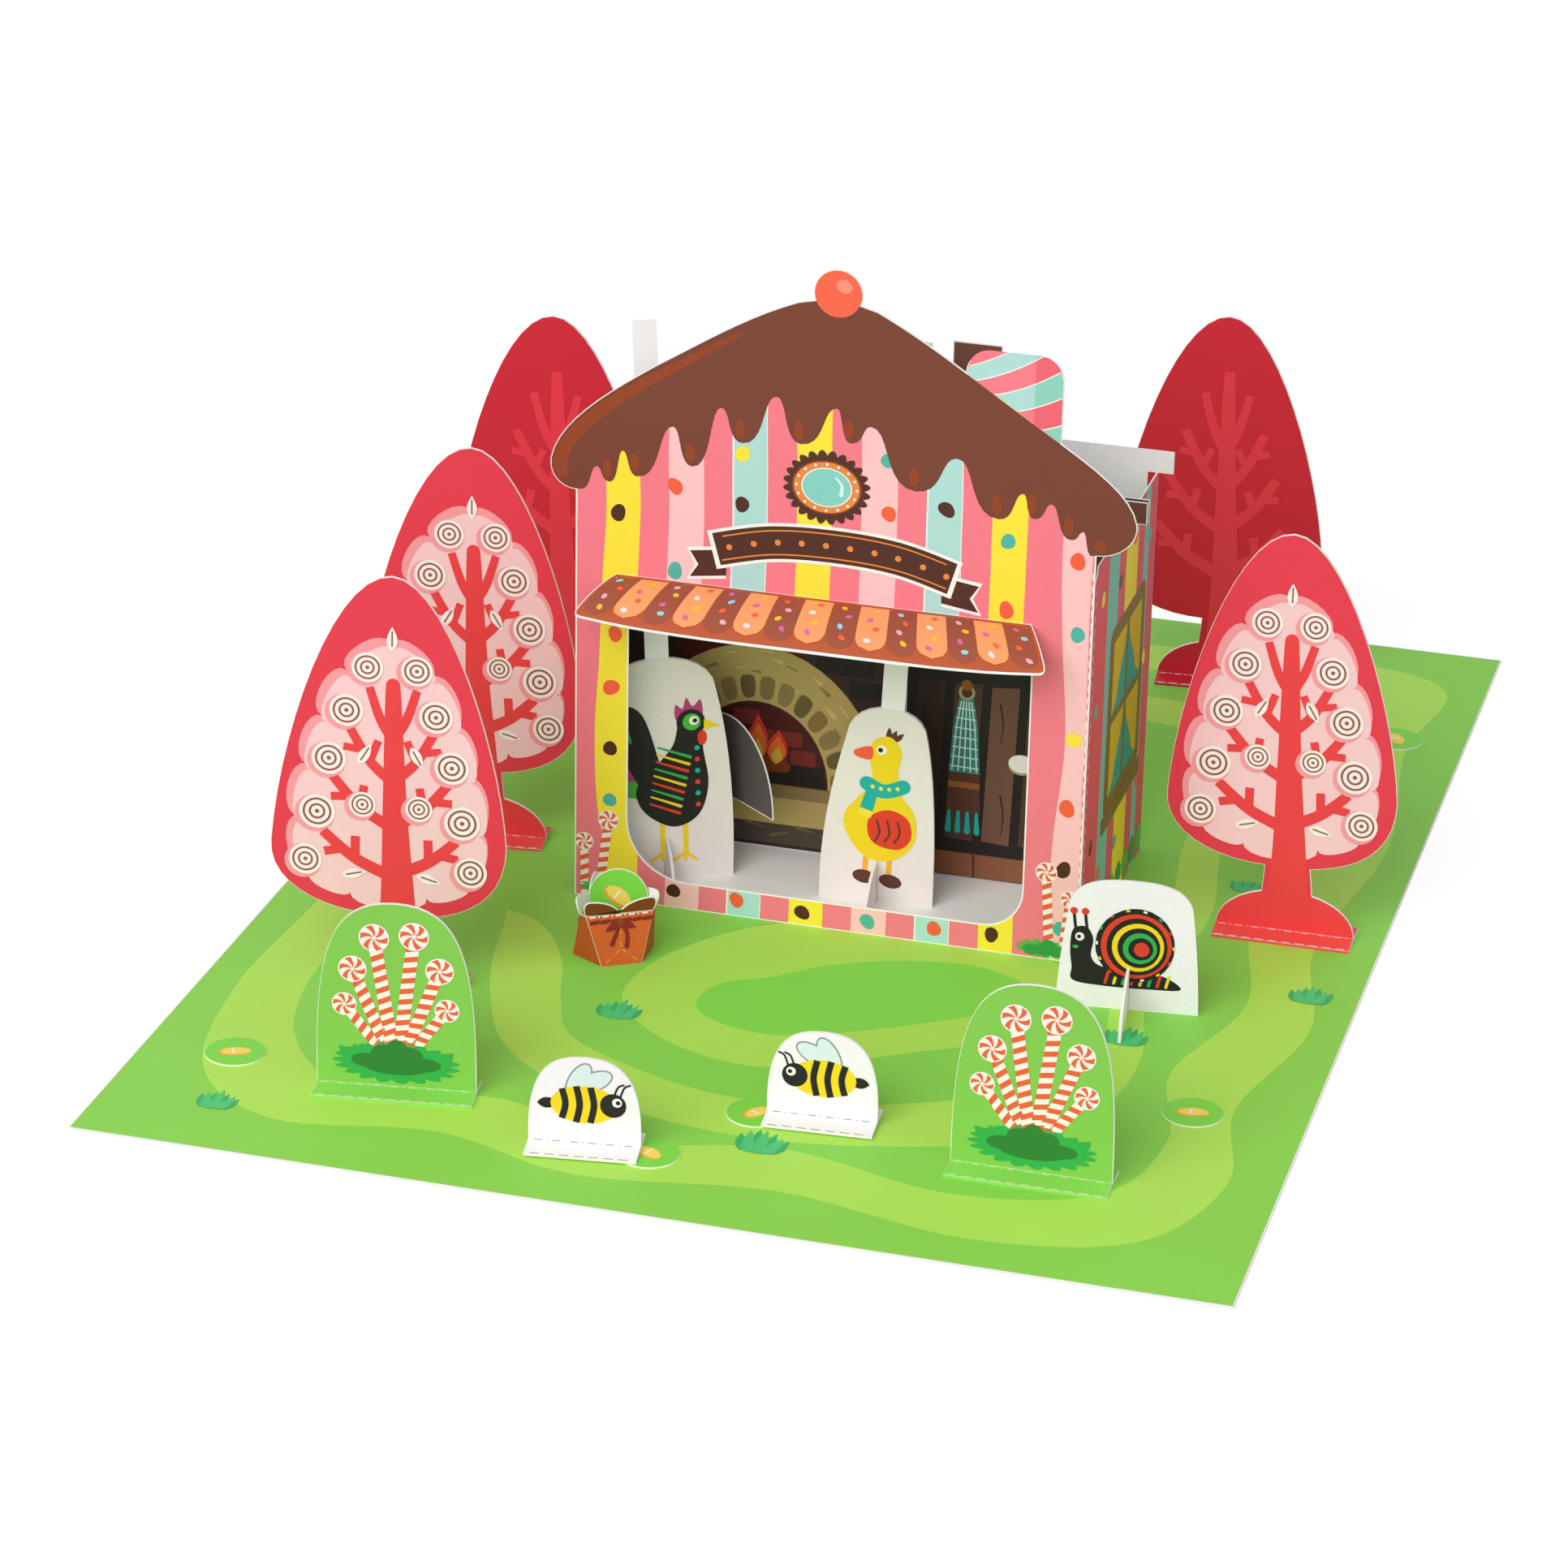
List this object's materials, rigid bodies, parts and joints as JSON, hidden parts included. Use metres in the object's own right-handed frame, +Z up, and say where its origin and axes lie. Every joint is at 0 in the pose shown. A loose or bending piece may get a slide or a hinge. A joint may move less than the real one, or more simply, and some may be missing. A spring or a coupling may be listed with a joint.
{
  "type": "toy theatre",
  "caption": "Paper toy theatre: an open-topped house with a stage window, drop-in scenery, a hinged oven door and hand puppets, on a lawn mat with standing trees, bushes and props.",
  "frame": {"origin": "middle of the lawn mat's underside, on the table", "axes": "+Z up; -Y towards the audience; +X to the audience's right; +Y along the mat's long side"},
  "size_m": [0.3031, 0.42, 0.1885],
  "materials": {
    "green_print": "matte print on card",
    "coral_print": "matte print on card",
    "white_card": "bare matte card",
    "brown_print": "matte print on card",
    "dark_print": "matte print on card",
    "ember_print": "matte print on card",
    "red_print": "matte print on card",
    "dark_red_print": "matte print on card",
    "leaf_print": "matte print on card",
    "lime_print": "matte print on card",
    "basket_print": "matte print on card"
  },
  "bodies": {
    "lawn": {"lawn_mat": "green_print"},
    "house": {"house_front": "coral_print", "house_left_wall": "coral_print", "house_right_wall": "coral_print", "house_floor": "white_card", "awning": "brown_print"},
    "oven_scene": {"oven_backdrop": "dark_print", "oven_fire_card": "ember_print"},
    "oven_door": {"oven_door": "dark_print"},
    "side_scene": {"side_scene_card": "dark_print"},
    "rear_scene": {"rear_card": "white_card"},
    "left_puppet": {"left_puppet_front": "white_card", "left_puppet_back": "white_card", "left_puppet_strip": "white_card", "left_puppet_foot": "white_card"},
    "right_puppet": {"right_puppet_front": "white_card", "right_puppet_back": "white_card", "right_puppet_strip": "white_card", "right_puppet_foot": "white_card"},
    "animal": {"animal_front": "white_card", "animal_back": "white_card", "animal_foot": "white_card"},
    "tree_1": {"tree_1_front": "red_print", "tree_1_back": "red_print", "tree_1_foot": "red_print"},
    "tree_2": {"tree_2_front": "red_print", "tree_2_back": "red_print", "tree_2_foot": "red_print"},
    "tree_3": {"tree_3_front": "dark_red_print", "tree_3_back": "dark_red_print", "tree_3_foot": "dark_red_print"},
    "tree_4": {"tree_4_front": "dark_red_print", "tree_4_back": "dark_red_print", "tree_4_foot": "dark_red_print"},
    "tree_5": {"tree_5_front": "red_print", "tree_5_back": "red_print", "tree_5_foot": "red_print"},
    "bush_1": {"bush_1_front": "leaf_print", "bush_1_back": "leaf_print", "bush_1_foot": "leaf_print"},
    "bush_2": {"bush_2_front": "leaf_print", "bush_2_back": "leaf_print", "bush_2_foot": "leaf_print"},
    "small_card_1": {"small_card_1_front": "white_card", "small_card_1_back": "white_card", "small_card_1_foot": "white_card"},
    "small_card_2": {"small_card_2_front": "white_card", "small_card_2_back": "white_card", "small_card_2_foot": "white_card"},
    "basket": {"basket_cup": "basket_print", "basket_flaps": "basket_print"},
    "basket_counter": {"basket_counter": "lime_print"},
    "counter_1": {"counter_1": "lime_print"},
    "counter_2": {"counter_2": "lime_print"},
    "counter_3": {"counter_3": "lime_print"},
    "counter_4": {"counter_4": "lime_print"},
    "counter_5": {"counter_5": "lime_print"}
  },
  "joints": [
    {"name": "house_lift", "type": "slide", "parent": "lawn", "child": "house", "axis": [0, 0, 1], "range_m": [0, 0.2]},
    {"name": "oven_scene_lift", "type": "slide", "parent": "house", "child": "oven_scene", "axis": [0, 0, 1], "range_m": [0, 0.125]},
    {"name": "oven_door_swing", "type": "hinge", "parent": "oven_scene", "child": "oven_door", "pos_m": [-0.0514, 0.0057, 0.0246], "axis": [0, 0, -1], "range_deg": [-38, 3]},
    {"name": "side_scene_lift", "type": "slide", "parent": "house", "child": "side_scene", "axis": [0, 0, 1], "range_m": [0, 0.125]},
    {"name": "rear_scene_lift", "type": "slide", "parent": "house", "child": "rear_scene", "axis": [0, 0, 1], "range_m": [0, 0.125]},
    {"name": "left_puppet_lift", "type": "slide", "parent": "house", "child": "left_puppet", "axis": [0, 0, 1], "range_m": [0, 0.125]},
    {"name": "right_puppet_lift", "type": "slide", "parent": "house", "child": "right_puppet", "axis": [0, 0, 1], "range_m": [0, 0.125]},
    {"name": "animal_lift", "type": "slide", "parent": "lawn", "child": "animal", "axis": [0, 0, 1], "range_m": [0, 0.12]},
    {"name": "tree_1_lift", "type": "slide", "parent": "lawn", "child": "tree_1", "axis": [0, 0, 1], "range_m": [0, 0.12]},
    {"name": "tree_2_lift", "type": "slide", "parent": "lawn", "child": "tree_2", "axis": [0, 0, 1], "range_m": [0, 0.12]},
    {"name": "tree_3_lift", "type": "slide", "parent": "lawn", "child": "tree_3", "axis": [0, 0, 1], "range_m": [0, 0.12]},
    {"name": "tree_4_lift", "type": "slide", "parent": "lawn", "child": "tree_4", "axis": [0, 0, 1], "range_m": [0, 0.12]},
    {"name": "tree_5_lift", "type": "slide", "parent": "lawn", "child": "tree_5", "axis": [0, 0, 1], "range_m": [0, 0.12]},
    {"name": "bush_1_lift", "type": "slide", "parent": "lawn", "child": "bush_1", "axis": [0, 0, 1], "range_m": [0, 0.12]},
    {"name": "bush_2_lift", "type": "slide", "parent": "lawn", "child": "bush_2", "axis": [0, 0, 1], "range_m": [0, 0.12]},
    {"name": "small_card_1_lift", "type": "slide", "parent": "lawn", "child": "small_card_1", "axis": [0, 0, 1], "range_m": [0, 0.12]},
    {"name": "small_card_2_lift", "type": "slide", "parent": "lawn", "child": "small_card_2", "axis": [0, 0, 1], "range_m": [0, 0.12]},
    {"name": "basket_lift", "type": "slide", "parent": "lawn", "child": "basket", "axis": [0, 0, 1], "range_m": [0, 0.12]},
    {"name": "basket_counter_lift", "type": "slide", "parent": "basket", "child": "basket_counter", "axis": [0, 0, 1], "range_m": [0, 0.03]},
    {"name": "counter_1_lift", "type": "slide", "parent": "lawn", "child": "counter_1", "axis": [0, 0, 1], "range_m": [0, 0.05]},
    {"name": "counter_4_lift", "type": "slide", "parent": "lawn", "child": "counter_4", "axis": [0, 0, 1], "range_m": [0, 0.05]},
    {"name": "counter_5_lift", "type": "slide", "parent": "lawn", "child": "counter_5", "axis": [0, 0, 1], "range_m": [0, 0.05]},
    {"name": "counter_2_slide", "type": "slide", "parent": "lawn", "child": "counter_2", "axis": [1, 0, 0], "range_m": [0, 0.025]},
    {"name": "counter_3_slide", "type": "slide", "parent": "lawn", "child": "counter_3", "axis": [-1, 0, 0], "range_m": [0, 0.025]}
  ]
}
